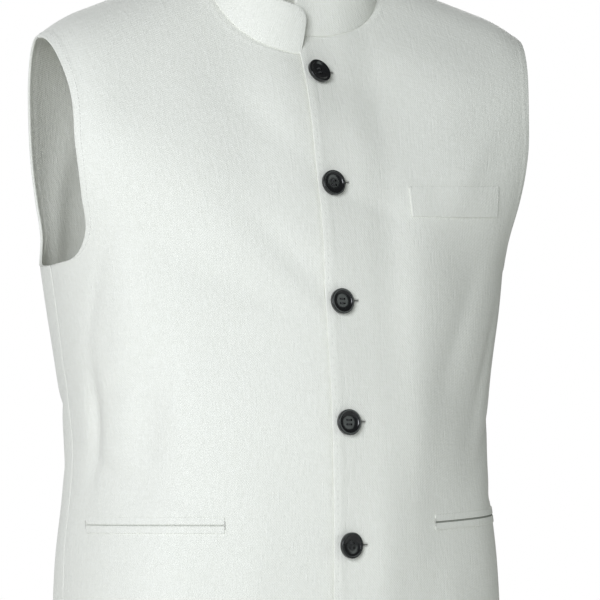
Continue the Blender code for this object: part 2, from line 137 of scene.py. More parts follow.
# Creases on top of the folds. The broad ones fill or hollow the chest and fronts. The finer ones are where
# the cloth breaks at the waist, drags from an armhole, pulls at a button or bags at a pocket.
CREASES = (
    # around  z      length  slant  width   depth
    (21.5, -0.370, 0.420, 81.0, 0.031, 0.0070),
    (13.0, -0.178, 0.150, -58.0, 0.024, 0.0030),
    (-2.0, -0.380, 0.420, 90.0, 0.044, 0.0040),
    (-7.0, -0.110, 0.170, 90.0, 0.026, 0.0080),
    (20.0, -0.262, 0.160, 86.0, 0.020, 0.0034),
    (32.0, -0.046, 0.120, -4.0, 0.040, -0.0060),
    (10.0, -0.060, 0.070, -4.0, 0.036, 0.0050),
    (21.0, -0.130, 0.150, -42.0, 0.035, 0.0020),
    (-57.0, -0.305, 0.130, 82.0, 0.026, 0.0036),
    (-78.0, -0.386, 0.085, 82.0, 0.010, -0.0056),
    (-10.0, -0.255, 0.100, -50.0, 0.012, -0.0022),
    (-70.0, -0.288, 0.090, 62.0, 0.008, -0.0014),
    (-63.0, -0.352, 0.075, 30.0, 0.008, -0.0015),
    (-72.0, -0.425, 0.080, -22.0, 0.008, -0.0016),
    (-48.0, -0.445, 0.110, -12.0, 0.012, -0.0013),
    (-30.0, -0.268, 0.120, -28.0, 0.014, -0.0013),
    (-12.0, -0.150, 0.090, -52.0, 0.012, -0.0011),
    (-40.0, -0.110, 0.100, 48.0, 0.014, -0.0013),
    (-26.0, -0.560, 0.150, 84.0, 0.016, 0.0014),
    (-55.0, -0.590, 0.120, 96.0, 0.018, 0.0015),
    (10.0, -0.106, 0.060, 38.0, 0.007, -0.0010),
    (9.0, -0.208, 0.070, -20.0, 0.008, -0.0009),
    (40.0, -0.300, 0.110, 66.0, 0.013, -0.0013),
    (40.0, -0.168, 0.100, 58.0, 0.012, 0.0011),
    (58.0, -0.330, 0.100, 70.0, 0.010, -0.0016),
    (66.0, -0.390, 0.090, 40.0, 0.009, -0.0016),
    (74.0, -0.440, 0.080, 18.0, 0.008, -0.0015),
    (33.0, -0.580, 0.140, 88.0, 0.018, 0.0014),
    (62.0, -0.600, 0.130, 82.0, 0.018, 0.0014),
    (84.0, -0.372, 0.090, 74.0, 0.011, -0.0034),
    (108.0, -0.372, 0.100, -28.0, 0.009, -0.0024),
    (120.0, -0.422, 0.110, -10.0, 0.010, -0.0026),
    (-108.0, -0.378, 0.110, 24.0, 0.009, -0.0024),
    (-121.0, -0.432, 0.100, 12.0, 0.010, -0.0026),
    (171.0, -0.384, 0.170, 5.0, 0.012, -0.0030),
    (-165.0, -0.430, 0.170, -9.0, 0.013, -0.0028),
    (156.0, -0.350, 0.120, 21.0, 0.011, -0.0022),
    (160.0, -0.290, 0.190, 78.0, 0.020, 0.0028),
    (-157.0, -0.280, 0.180, 104.0, 0.020, 0.0026),
    (128.0, -0.215, 0.130, 66.0, 0.013, -0.0026),
    (-127.0, -0.205, 0.140, 112.0, 0.013, -0.0025),
    (177.0, -0.070, 0.140, 4.0, 0.012, -0.0024),
    (-150.0, -0.575, 0.170, 92.0, 0.022, 0.0024),
    (143.0, -0.580, 0.160, 87.0, 0.020, 0.0022),
)
DEGREE_WIDTH = 0.0030       # how far round the body a degree reaches
FOLD_FADE = 8               # how late the folds fade out, on the way up to the shoulder seam

# Turned edges: the allowances inside them make a band that stands a little proud
EDGE_BAND = 0.009
EDGE_PROUD = 0.00035
PRESSED_EDGE = 0.0011       # how thin the iron leaves the cloth at the front edge and neckline
PRESSED_REACH = 0.0070
HEM_BAND = 0.038
HEM_PROUD = 0.0002
BAND_FADE = 0.0015
SEAM_ROUND = 0.0008         # how far an edge rolls over into a seam
EDGE_FLAT = 0.0001          # left between the two rolls of a free edge
EDGE_ROUND = CLOTH / 2 - EDGE_FLAT
ROLL_STEPS = 4
EDGE_ROOM = 0.7             # how much of the room beside an edge its roll may take

# Buttons, on the middle line. A loose one tips on its thread. Each buttonhole lies a little off its level.
BUTTONS = (
    # z       turn   tip   hole
    (-0.1005, 3.0, -3.0, 0.0019),
    (-0.1930, 0.0, 2.0, 0.0018),
    (-0.2898, 6.0, 0.0, 0.0013),
    (-0.3878, 2.0, 0.0, 0.0008),
    (-0.4858, 12.0, 0.0, 0.0004),
)
BUTTON_RADIUS = 0.0105
BUTTON_UNDERSIDE = 0.0016
BUTTON_THICKNESS = 0.0034
RIM_WIDTH = 0.0020
DISH_RINGS = (              # each ring of the dish: its width as a share of the radius, and its drop
    (0.085, 0.00080),
    (0.105, 0.00040),
    (0.110, 0.00022),
    (0.110, 0.00010),
)
DISH_DEPTH = sum(ring[1] for ring in DISH_RINGS)
EYE_RADIUS = 0.00095
EYE_OFFSET = 0.0018         # from the middle, along and across
THREAD_RADIUS = 0.00026
STRAND_STEP = 1.7 * THREAD_RADIUS  # the strands over a button lie close, each a little into the next
STRAND_SINK = 0.62 * EYE_OFFSET    # how far below the dish their rings have their middle
BUTTON_ROUND = 0.0006       # of the button's corners
EYE_ROUND = 0.0002          # of its eyes' edges
HOLE_START = -0.0030        # a buttonhole's ends, from its button's middle towards the side
HOLE_END = 0.0165
HOLE_HALF_WIDTH = 0.0005
HOLE_POINTS = 24

# Welts, each a strip that lies on a front: its inner end, true length, rise to the outer end and height
WELTS = (
    # name                    side  x      z       length  rise    height  thickness
    ("chest_welt", 1, 0.073, -0.2045, 0.098, 0.0060, 0.0250, WELT_WALL),
    ("hip_jet_upper_left", 1, 0.086, -0.4643, 0.130, 0.0070, 0.0056, JET_WALL),
    ("hip_jet_lower_left", 1, 0.086, -0.4714, 0.130, 0.0070, 0.0056, JET_WALL),
    ("hip_jet_upper_right", -1, 0.098, -0.4663, 0.130, 0.0000, 0.0056, JET_WALL),
    ("hip_jet_lower_right", -1, 0.098, -0.4734, 0.130, 0.0000, 0.0056, JET_WALL),
)

# The grid of a panel is one line to every few millimetres
FRONT, BACK = -1, 1
GRIDS = {FRONT: (96, 1.1), BACK: (84, 1.0)}  # columns, and how much they crowd towards the middle line
LOWER_ROWS = 132
EDGE_ROWS = 48
NECK_ROWS = 40
ARMHOLE_ROWS = EDGE_ROWS + NECK_ROWS
NECK = slice(LOWER_ROWS + EDGE_ROWS, None)
COLLAR_ROWS = 18
COLLAR_COLUMNS = 190
CORNER_PARTS = 8
COLLAR_SWELL = 0.0006       # how far the band's outer face is rounded out by what is inside it
WELT_ROWS = 8
WELT_COLUMNS = 72
WELT_ROUNDS = 10

# Stitches: thread drawn a little thicker than it is, so that it shows
TOP_STITCH = (0.0034, 0.0026)  # its pitch and length
PICK_STITCH = (0.0060, 0.0012)  # it shows as a small dent of thread
STITCH_RADIUS = 0.00022
ARMHOLE_STITCH = 0.0060     # how far in from the edge
EDGE_STITCH = 0.0030
WELT_STITCH = 0.0015
WHIP_LENGTH = 0.0013        # the close stitches round a buttonhole
WHIP_PITCH = 0.00042
WHIP_RADIUS = 0.00026
BAR_STITCHES = 7
TACK_SHARE = 0.5            # how much of a pocket's height the bar at its end covers
SLIT_WALL = 0.0002
SLIT_ROWS = 5
MOUTH_HALF_WIDTH = {"left": 0.0007, "right": 0.0002}  # the half width of the painted shade in each mouth: the wearer's left pocket gapes a little
SHANK_RADIUS = 0.0014

# The finishes' patterns, in metres. Where there are two, they are across the cloth and up it.
THREAD = 0.0011             # of the weave
WARP_FLECK = (0.0028, 0.0095)
WEFT_FLECK = (0.0080, 0.0024)
SLUB = (0.0018, 0.0240)
CLOUD = 0.11
WEAVE_RELIEF = 0.00022
PLY = 0.0006                # from ridge to ridge on the sewing thread
PLY_RELIEF = 0.0001
SLIT_SHADE_SPECKS = 2500.0        # to the metre: the specks in the painted shade where cloth is cut
RESIN_SPECKS = 900.0        # to the metre
RESIN_WEAR = 260.0
RESIN_RELIEF = 0.00006

# Colours, as sRGB hex
IVORY = "F5F6EF"
IVORY_DEEP = "EBECE3"
RESIN = "16181A"
RESIN_DEEP = "08090A"
FLOOR_COLOUR = "F2F2F0"

# Small slow swells in the cloth: how many, the range of their lengths, and their depth
SWELL_COUNT = 16
SWELL_LENGTHS = (0.050, 0.160)
SWELL_DEPTH = 0.0005

# The view, the room and its soft boxes
CAMERA_TURN = (-24.0, -3.5)  # azimuth and elevation, in degrees
CAMERA_AIM = Vector((0.0003, -0.0500, -0.2829))
CAMERA_DISTANCE = 2.6
CAMERA_LENS = 186.78
FLOOR_Z = HEM_Z - 0.030
FLOOR_RADIUS = 3.0
FLOOR_FADE = (0.3, 0.95)    # the shares of the radius between which the floor fades out
ROOM_LIGHT = 0.11
LIGHT_AIM = Vector((0.0, 0.0, -0.28))
LIGHTS = (
    # name          place                size        watts  colour
    ("key_box", (-1.90, -2.26, 0.24), (1.4, 1.4), 66.0, (0.92, 0.95, 1.00)),
    ("right_box", (1.90, -2.26, 0.24), (1.4, 1.4), 10.0, (0.90, 1.00, 0.96)),
    ("left_back_box", (-1.25, 2.20, 1.35), (1.6, 1.6), 24.0, (0.95, 0.97, 1.00)),
    ("right_back_box", (1.25, 2.20, 1.35), (1.6, 1.6), 30.0, (1.00, 1.00, 0.98)),
)

# Working steps and counts for the form
ANGLE_STEP = 1e-3
HEIGHT_STEP = 1e-5
LOCATING_ROUNDS = 12
KNOT_SAMPLES = 40
GRAIN_ANGLE = 30.0          # where the threads are measured up the cloth
GRAIN_SAMPLES = (361, 301)  # round the form and up it
NECK_SAMPLES = 400

SHOULDER = math.pi / 2
LEVELS = np.array([row[1] for row in SECTIONS])[::-1]
SIZES = np.array([row[2:] for row in SECTIONS])[::-1]
SLOPES = np.gradient(SIZES, LEVELS, axis=0)
CHEST_HALF = SIZES[-1, 0]
CHEST_SLOPES = SLOPES[-1]


# -------- the form

def hermite(t, start, end, start_slope, end_slope):
    """A cubic that runs from start at t = 0 to end at t = 1 with those slopes."""
    return (
        (2 * t**3 - 3 * t**2 + 1) * start
        + (t**3 - 2 * t**2 + t) * start_slope
        + (3 * t**2 - 2 * t**3) * end
        + (t**3 - t**2) * end_slope
    )


def section(z):
    """The form's half width, front depth, back depth and side seam at heights up to the chest line."""
    z = np.clip(z, LEVELS[0], LEVELS[-1])
    k = np.clip(np.searchsorted(LEVELS, z, side="right") - 1, 0, len(LEVELS) - 2)
    span = LEVELS[k + 1] - LEVELS[k]
    t = ((z - LEVELS[k]) / span)[..., None]
    span = span[..., None]
    found = hermite(t, SIZES[k], SIZES[k + 1], SLOPES[k] * span, SLOPES[k + 1] * span)
    return np.moveaxis(found, -1, 0)


def unit(vectors):
    return vectors / np.linalg.norm(vectors, axis=-1, keepdims=True)


def lengths_along(line):
    """How far along a line of points each of them is, from its start."""
    return np.concatenate([[0], np.cumsum(np.linalg.norm(np.diff(line, axis=0), axis=1))])


def read_at(wanted, along, values):
    """The rows of values at the wanted lengths along a line."""
    return np.stack([np.interp(wanted, along, column) for column in values.T], axis=1)


def smooth_step(t):
    t = np.clip(t, 0, 1)
    return t * t * (3 - 2 * t)


def shoulder_line(x, side):
    """Height of the shoulder line at x. Inside the neck, the form reaches higher behind than in front."""
    neck = math.hypot(SHOULDER_ROUNDING, SHOULDER_SLOPE * NECK_HALF_WIDTH)
    line = neck - np.hypot(SHOULDER_ROUNDING, SHOULDER_SLOPE * x)
    start, end = SHOULDER_DROOP_X
    line = line - SHOULDER_DROOP * np.clip((np.abs(x) - start) / (end - start), 0, None) ** 2
    inside = np.clip(1 - (x / NECK_HALF_WIDTH) ** 2, 0, 1)
    return line + (NAPE_RISE * inside**NAPE_CURVE if side == BACK else 0)


def form(angle, height, side):
    """Points of the form, as an array of x, y, z. Angles are in degrees."""
    angle, height = np.broadcast_arrays(np.asarray(angle, float), np.asarray(height, float))
    across = np.sin(np.radians(angle))
    reach = np.abs(across)
    rise = np.sin(np.clip(height, 0, SHOULDER))
    level = CHEST_Z + np.minimum(height, 0) * (CHEST_Z - HEM_Z)
    half, front, back, seam = section(level)
    climb = shoulder_line(TOP_HALF_WIDTH * across, side) - CHEST_Z
    half_slope, front_slope, back_slope, seam_slope = CHEST_SLOPES
    x = across * hermite(rise, half, TOP_HALF_WIDTH, half_slope * climb, 0)
    y = hermite(rise, seam, SHOULDER_FORWARD * reach**2, seam_slope * climb, 0)
    if side == FRONT:
        depth = front + seam
        slope = (front_slope + seam_slope) / depth
        middling = np.exp(-((reach / MIDDLE_REACH) ** 2))
        fullness = FRONT_FULLNESS_SIDE + (FRONT_FULLNESS_MIDDLE - FRONT_FULLNESS_SIDE) * middling
        off = across - LEFT_EDGE_X / CHEST_HALF
        keel = np.hypot(off, PROW_ROUNDING) - PROW_ROUNDING
        square = hermite(np.minimum(rise / SQUARE_FROM, 1), FRONT_SQUARENESS, SHOULDER_SQUARENESS, 0, 0)
        outline = (1 - reach**square) ** (1 / square) - PROW * keel * (1 - reach**2)
    else:
        depth = back - seam
        slope = (back_slope - seam_slope) / depth
        fullness = BACK_FULLNESS
        outline = (1 - reach**BACK_SQUARENESS) ** (1 / BACK_SQUARENESS)
    fall = hermite(rise, 0, 1, -2 * slope * climb, fullness)
    y = y + side * depth * outline * np.sqrt(np.clip(1 - fall, 0, 1))
    z = level + rise * climb + SHOULDER_TILT * x * smooth_step(rise)
    return np.stack([x, y, z], axis=-1)


def normals_of(surface, angle, height, side):
    """Outward unit normals of a surface that is given as a function of angle, height and side."""
    angle, height = np.broadcast_arrays(np.asarray(angle, float), np.asarray(height, float))
    right, left = np.maximum(angle - ANGLE_STEP, -90), np.minimum(angle + ANGLE_STEP, 90)
    below, above = height - HEIGHT_STEP, np.minimum(height + HEIGHT_STEP, SHOULDER)
    round_it = surface(left, height, side) - surface(right, height, side)
    up_it = surface(angle, above, side) - surface(angle, below, side)
    return unit(np.cross(round_it, up_it)) * (1 if side == FRONT else -1)


def swells(points):
    """Small slow swells, as cloth has even where it hangs smooth."""
    dice = np.random.default_rng(4)
    ways = unit(dice.normal(size=(SWELL_COUNT, 3))) * math.tau
    ways /= dice.uniform(*SWELL_LENGTHS, SWELL_COUNT)[:, None]
    starts = dice.uniform(0, math.tau, SWELL_COUNT)
    return SWELL_DEPTH * np.sin(points @ ways.T + starts).sum(-1) / math.sqrt(SWELL_COUNT / 2)


def fold_depth(angle, height, side, base):
    """How far folds and swells move each point out (in, below 0). They fade out at the shoulder seam."""
    around = angle if side == FRONT else np.copysign(180, angle) - angle
    z = base[..., 2]
    moved = swells(base)
    for middle, level, length, slant, width, depth in FOLDS + CREASES:
        round_it = ((around - middle + 180) % 360 - 180) * DEGREE_WIDTH
        up_it = z - level
        turn = math.radians(slant)
        along = round_it * math.cos(turn) + up_it * math.sin(turn)
        across = up_it * math.cos(turn) - round_it * math.sin(turn)
        moved += depth * np.exp(-((2 * along / length) ** 2) - (across / width) ** 2)
    return moved * (1 - np.sin(np.clip(height, 0, SHOULDER)) ** FOLD_FADE)


def lap(points):
    """How far the left front stands proud of the form, to lie over the right one."""
    inward = smooth_step((points[..., 0] - LAP_FLAT_X) / (LAP_END_X - LAP_FLAT_X))
    return (CLOTH + LAP_GAP) * (1 - inward)


def cloth(angle, height, side):
    """The middle of the cloth: the form with its folds."""
    base = form(angle, height, side)
    moved = fold_depth(angle, height, side, base)
    return base + normals_of(form, angle, height, side) * moved[..., None]


def lapped(angle, height, side):
    """The middle of the left front's cloth, which lies over the right front at the edge."""
    base = cloth(angle, height, side)
    return base + normals_of(form, angle, height, side) * lap(base)[..., None]


def locate(x, level, side):
    """The angle and height on the form of points at x and a level, which is z before the shoulders tilt.

    The half width there depends on the angle, so they are found in a few rounds.
    """
    x, level = np.broadcast_arrays(np.asarray(x, float), np.asarray(level, float))
    start = section(level)[0]
    half = start
    for _ in range(LOCATING_ROUNDS):
        across = np.clip(x / half, -1, 1)
        climb = shoulder_line(TOP_HALF_WIDTH * across, side) - CHEST_Z
        rise = np.clip((level - CHEST_Z) / climb, 0, 1)
        half = hermite(rise, start, TOP_HALF_WIDTH, CHEST_SLOPES[0] * climb, 0)
    low = np.clip((level - CHEST_Z) / (CHEST_Z - HEM_Z), -1, 0)
    return np.degrees(np.arcsin(across)), np.where(rise > 0, np.arcsin(rise), low)


# -------- outlines of the panels

def spaced(places, surface, side, count):
    """A line of places on the surface, spaced anew so that its parts are equally long."""
    points = surface(places[:, 0], places[:, 1], side)
    lengths = lengths_along(points)
    return read_at(np.linspace(0, lengths[-1], count + 1), lengths, places)


def armhole(side):
    """Places along the armhole of the wearer's left, from the underarm up to the shoulder."""
    column = 1 if side == FRONT else 2
    knots = np.array([(row[column], math.asin(row[0])) for row in ARMHOLE])
    slopes = np.gradient(knots, axis=0)
    t = np.linspace(0, 1, KNOT_SAMPLES)[:, None, None]
    pieces = hermite(t, knots[:-1], knots[1:], slopes[:-1], slopes[1:])
    return spaced(pieces.transpose(1, 0, 2).reshape(-1, 2), form, side, ARMHOLE_ROWS)


def neckline(side, start_x, middle_z):
    """Places along a neckline of the wearer's left, from start_x near the middle out to the shoulder."""
    turn = np.linspace(math.asin(start_x / NECK_HALF_WIDTH), math.pi / 2, NECK_SAMPLES)
    x = NECK_HALF_WIDTH * np.sin(turn)
    if side == FRONT:
        across = np.abs(x / NECK_HALF_WIDTH)
        level = middle_z * (1 - across**NECK_SQUARENESS) ** (1 / NECK_SQUARENESS)
    else:
        level = middle_z * shoulder_line(x, FRONT) / shoulder_line(0.0, FRONT)
    places = np.stack(locate(x, level, side), axis=1)
    places[-1, 1] = SHOULDER
    lowest = places[:, 1].argmin()
    places[:lowest, 1] = places[lowest, 1]
    return spaced(places, form, side, NECK_ROWS)


def panel_places(side, edge_x, middle_z):
    """The (angle, height) of every grid point of a panel of the wearer's left, row by row from the hem."""
    underarm = math.asin(ARMHOLE[0][0])
    neck = neckline(side, edge_x, middle_z)
    lower = np.linspace(-1, underarm, LOWER_ROWS + 1)[:-1]
    edge = np.linspace(underarm, neck[0, 1], EDGE_ROWS + 1)[:-1]
    inner_heights = np.concatenate([lower, edge])
    half = form(90, inner_heights, side)[:, 0]
    inner_angles = np.degrees(np.arcsin(edge_x / half))
    inner = np.concatenate([np.stack([inner_angles, inner_heights], axis=1), neck])
    outer = np.concatenate([np.stack([np.full(len(lower), 90.0), lower], axis=1), armhole(side)])
    columns, crowding = GRIDS[side]
    share = (np.linspace(0, 1, columns + 1) ** crowding)[None, :, None]
    return inner[:, None] + (outer - inner)[:, None] * share


# -------- thin shells of cloth

def grain(angle, height, side):
    """How far round and up a place is, in metres along the cloth: the threads of the weave follow these."""
    angles = np.linspace(-90, 90, GRAIN_SAMPLES[0])
    heights = np.linspace(-1, SHOULDER, GRAIN_SAMPLES[1])
    around = lengths_along(form(angles, 0.0, side))
    upward = lengths_along(form(GRAIN_ANGLE, heights, side))
    return np.stack([np.interp(angle, angles, around), np.interp(height, heights, upward)], axis=-1)


def run(points, axis):
    """Length along the grid lines of one axis, from the first line to each point."""
    steps = np.linalg.norm(np.diff(points, axis=axis), axis=-1)
    start = np.zeros_like(np.take(steps, [0], axis=axis))
    return np.concatenate([start, np.cumsum(steps, axis=axis)], axis=axis)


def band(distance, width):
    """1 on the strip along an edge that its turned allowance thickens, and 0 past it."""
    return smooth_step((width - distance) / BAND_FADE)


def rim_places(rows, columns):
    """The row and column of each point round the edge of a grid, in order."""
    across, up = np.arange(columns), np.arange(rows)
    row = np.concatenate([0 * across[1:], up[:-1], 0 * across[1:] + rows - 1, up[:0:-1]])
    column = np.concatenate([across[:-1], 0 * up[1:] + columns - 1, across[:0:-1], 0 * up[1:]])
    return row, column


def inward_at_rim(middle, normal):
    """At each point of a grid's edge, the way in from that edge along the cloth, and the room beside it."""
    inward = np.zeros_like(middle)
    room = np.full(middle.shape[:2], np.inf)
    for at, inside in (((0,), (1,)), ((-1,), (-2,)), ((slice(None), 0), (slice(None), 1)),
                       ((slice(None), -1), (slice(None), -2))):
        beside = unit(np.cross(normal[at], np.gradient(middle[at], axis=0)))
        apart = (beside * (middle[inside] - middle[at])).sum(-1)
        inward[at] += beside * np.sign(apart.sum())
        room[at] = np.minimum(room[at], np.abs(apart))
    return inward, room[..., None]


def add_shell(name, middle, normal, wall, rounding, uv, slot="ivory_cloth"):
    """A closed thin shell round the middle of a piece of cloth, whose edges roll over at the given radius."""
    rows, columns = middle.shape[:2]
    r, c = rim_places(rows, columns)
    wall = np.broadcast_to(wall, (rows, columns))[..., None]
    inward, room = inward_at_rim(middle, normal)
    radius = np.broadcast_to(rounding, (rows, columns))[..., None]
    radius = np.minimum(radius, np.minimum(room * EDGE_ROOM, wall / 2 - EDGE_FLAT))
    inset = inward * radius
    outer, inner = middle + normal * wall / 2, middle - normal * wall / 2
    outer[r, c] += inset[r, c]
    inner[r, c] += inset[r, c]
    loops = []
    for face in (1, -1):
        for turn in np.radians(np.linspace(90, 0, ROLL_STEPS + 1)[1:]):
            lift = wall / 2 - radius + radius * math.sin(turn)
            loops.append((middle + inset * (1 - math.cos(turn)) + face * normal * lift)[r, c])
    loops = loops[:ROLL_STEPS] + loops[:ROLL_STEPS - 1:-1]
    grid = np.arange(rows * columns).reshape(rows, columns)
    edge = grid[r, c]
    rings = [edge]
    rings += [2 * rows * columns + k * len(edge) + np.arange(len(edge)) for k in range(len(loops))]
    rings += [edge + rows * columns]
    quads = np.stack([grid[:-1, :-1], grid[:-1, 1:], grid[1:, 1:], grid[1:, :-1]], axis=-1).reshape(-1, 4)
    faces = [quads, quads[:, ::-1] + rows * columns]
    for one, other in zip(rings, rings[1:]):
        faces.append(np.stack([np.roll(one, -1), one, other, np.roll(other, -1)], axis=-1))
    points = np.concatenate([outer.reshape(-1, 3), inner.reshape(-1, 3), *loops])
    maps = np.concatenate([uv.reshape(-1, 2)] * 2 + [uv[r, c]] * len(loops))
    return add_mesh(name, points, np.concatenate(faces), maps, slot)


def link(name, data):
    """An object of that name in the scene."""
    made = bpy.data.objects.new(name, data)
    bpy.context.scene.collection.objects.link(made)
    return made


def add_mesh(name, points, faces, maps, slot):
    """A closed mesh of quads that rides on the jacket, with its grain as a UV map."""
    mesh = bpy.data.meshes.new(name)
    mesh.from_pydata(points.tolist(), [], faces.tolist())
    layer = mesh.uv_layers.new(name="grain")
    layer.data.foreach_set("uv", maps[faces.reshape(-1)].astype(np.float32).reshape(-1))
    built = bmesh.new()
    built.from_mesh(mesh)
    bmesh.ops.recalc_face_normals(built, faces=built.faces)
    built.to_mesh(mesh)
    built.free()
    mesh.shade_smooth()
    return dress(link(name, mesh), slot)


def dress(made, slot, finish=None):
    """Gives a piece its finish, and lets it ride on the jacket."""
    made.data.materials.clear()
    made.data.materials.append(finish or FINISHES[slot])
    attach(made, "root")
    return made


def add_primitive(kind, **settings):
    """One of Blender's primitives, alone in the selection."""
    bpy.ops.object.select_all(action="DESELECT")
    getattr(bpy.ops.mesh, f"primitive_{kind}_add")(**settings)
    return bpy.context.object


def panel(name, side, edge_x, middle_z, right, surface):
    """One front or half back. It gives the shell, and the middle of its cloth with the way out."""
    places = panel_places(side, edge_x, middle_z)
    angle, height = places[..., 0] * (-1 if right else 1), places[..., 1]
    middle = surface(angle, height, side)
    normal = normals_of(surface, angle, height, side)
    from_edge, from_hem = run(middle, 1), run(middle, 0)
    from_armhole = from_edge[:, -1:] - from_edge
    proud = HEM_PROUD * band(from_hem, HEM_BAND)
    rounding = np.full(middle.shape[:2], SEAM_ROUND)
    wall = np.full(middle.shape[:2], CLOTH)
    if side == FRONT:
        proud = np.maximum(proud, EDGE_PROUD * band(from_edge, EDGE_BAND))
        rounding[:NECK.start + 1, 0] = EDGE_ROUND
        wall -= (CLOTH - PRESSED_EDGE) * smooth_step(1 - from_edge / PRESSED_REACH)
    rounding[0] = EDGE_ROUND
    rounding[LOWER_ROWS:, -1] = EDGE_ROUND
    beside = EDGE_PROUD * band(from_armhole, EDGE_BAND)
    proud[LOWER_ROWS:] = np.maximum(proud, beside)[LOWER_ROWS:]
    middle = middle + normal * proud[..., None]
    shell = add_shell(name, middle, normal, wall, rounding, grain(angle, height, side))
    return shell, middle, normal


def neck_ring(shapes):
    """The neckline from the right front's edge round to the left front's: points, the collar's up and out."""
    points, normals = [], []
    for k, (_, middle, normal) in enumerate(shapes):
        order = slice(None, None, -1 if k % 2 else 1)
        skipped = slice(1 if k else 0, None)
        points.append(middle[NECK, 0][order][skipped])
        normals.append(normal[NECK, 0][order][skipped])
    points, normals = np.concatenate(points), np.concatenate(normals)
    tangents = unit(np.gradient(points, axis=0))
    inward = unit(points * np.array([-1.0, -1.0, 0.0]))
    up = np.array([0.0, -math.tan(COLLAR_LEAN), 1.0]) + math.tan(COLLAR_CLOSING) * inward
    up = unit(up - tangents * (up * tangents).sum(-1, keepdims=True))
    reach = round(COLLAR_EASING / np.linalg.norm(np.diff(points, axis=0), axis=1).mean())
    shares = reach + 1 - np.abs(np.arange(-reach, reach + 1))
    padded = np.pad(up, ((reach, reach), (0, 0)), mode="edge")
    up = unit(sum(share * padded[k:k + len(up)] for k, share in enumerate(shares)))
    outward = np.cross(tangents, up)
    outward *= np.sign((outward * normals).sum(-1, keepdims=True))
    return points, up, unit(outward)


def collar(ring):
    """The band: it stands on the neckline, and its ends meet at the left front's edge."""
    points = ring[0]
    along = lengths_along(points)
    half = NECK_ROWS + 1
    first = np.interp(-COLLAR_TUCK - LEFT_EDGE_X, -points[:half, 0], along[:half])
    corner = COLLAR_CORNER * (1 - np.cos(np.linspace(0, math.pi / 2, CORNER_PARTS + 1)))
    body = np.linspace(first + COLLAR_CORNER, along[-1] - COLLAR_CORNER, COLLAR_COLUMNS + 1)
    wanted = np.concatenate([first + corner[:-1], body, along[-1] - corner[-2::-1]])
    base, up, outward = (read_at(wanted, along, values) for values in ring)
    to_end = np.minimum(wanted - wanted[0], wanted[-1] - wanted)
    short = np.clip(COLLAR_CORNER - to_end, 0, COLLAR_CORNER)
    height = COLLAR_HEIGHT - COLLAR_CORNER + np.sqrt(COLLAR_CORNER**2 - short**2)
    share = np.linspace(0, 1, COLLAR_ROWS + 1)[:, None, None]
    middle = base + up * share * height[:, None]
    normal = np.broadcast_to(unit(outward), middle.shape).copy()
    top, side = (1 - share[..., 0]) * height, np.broadcast_to(to_end, middle.shape[:2])
    proud = EDGE_PROUD * np.maximum(band(top, EDGE_BAND), band(side, EDGE_BAND))
    middle = middle + normal * (proud + COLLAR_SWELL * np.sin(math.pi * share[..., 0]))[..., None]
    rounding = np.full(middle.shape[:2], COLLAR_CLOTH / 2 - EDGE_FLAT)
    rounding[0] = SEAM_ROUND
    uv = np.stack([np.broadcast_to(wanted, middle.shape[:2]), share[..., 0] * height], axis=-1)
    return add_shell("collar_band", middle, normal, COLLAR_CLOTH, rounding, uv), middle, normal


# -------- what lies on the fronts

def outer_face(angle, height, wearers_left):
    """Points on the outside of a front, and the way out."""
    surface = lapped if wearers_left else cloth
    normal = normals_of(surface, angle, height, FRONT)
    return surface(angle, height, FRONT) + normal * CLOTH / 2, normal


def welt(name, sign, start, level, length, rise, height, thickness):
    """A strip of cloth on a front, from its inner end outwards round the body, with its long edges rolled."""
    half = section(level)[0]
    share = np.linspace(0, 1, WELT_COLUMNS + 1)
    first = math.asin(start / half)
    last = math.pi / 2
    for _ in range(WELT_ROUNDS):
        x = sign * half * np.sin(first + (last - first) * share)
        line = outer_face(*locate(x, level + rise * share, FRONT), sign > 0)[0]
        reached = np.linalg.norm(np.diff(line, axis=0), axis=1).sum()
        last = first + (last - first) * length / reached
    up = np.linspace(-0.5, 0.5, WELT_ROWS + 1)[:, None] * height
    places = locate(x, level + rise * share + up, FRONT)
    points, normal = outer_face(*places, sign > 0)
    points = points + normal * (PATCH_GAP + thickness / 2)
    rounding = thickness / 2 - EDGE_FLAT
    shell = add_shell(name + "_strip", points, normal, thickness, rounding, grain(*places, FRONT))
    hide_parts(name)
    return shell, points, normal


def along_line(points, normals, pitch):
    """Evenly spaced points on a line, with the way along it and the way out."""
    along = lengths_along(points)
    wanted = np.arange(pitch / 2, along[-1], pitch)
    ways = np.gradient(points, along, axis=0)
    place, out, way = (read_at(wanted, along, values) for values in (points, normals, ways))
    out = unit(out)
    return place, unit(way - out * (way * out).sum(-1, keepdims=True)), out


def sew(name, lines, length, radius):
    """Stitches as small long beads, one at each place of the lines, all in one mesh."""
    places, ways, outs = (np.concatenate(values) for values in zip(*lines))
    bead = stitch_bead()
    shape = np.array([vertex.co for vertex in bead.vertices]) * (length / 2, radius, radius)
    # The primitive lists its faces in another order each run, so they are sorted
    quads = sorted(list(face.vertices) for face in bead.polygons)
    bpy.data.meshes.remove(bead)
    sides = np.cross(outs, ways)
    points = (
        places[:, None]
        + shape[None, :, :1] * ways[:, None]
        + shape[None, :, 1:2] * sides[:, None]
        + shape[None, :, 2:] * outs[:, None]
    )
    count = len(shape)
    faces = [[corner + k * count for corner in quad] for k in range(len(places)) for quad in quads]
    mesh = bpy.data.meshes.new(name)
    mesh.from_pydata(points.reshape(-1, 3).tolist(), [], faces)
    mesh.shade_smooth()
    return dress(link(name, mesh), "ivory_cloth", FINISHES["ivory_thread"])


def stitch_bead():
    """A round bead, 2 long, wide and high, with its poles at the ends of X."""
    bead = add_primitive("uv_sphere", segments=8, ring_count=6, radius=1, rotation=(0, math.pi / 2, 0))
    bpy.ops.object.transform_apply(rotation=True)
    mesh = bead.data
    bpy.data.objects.remove(bead)
    return mesh


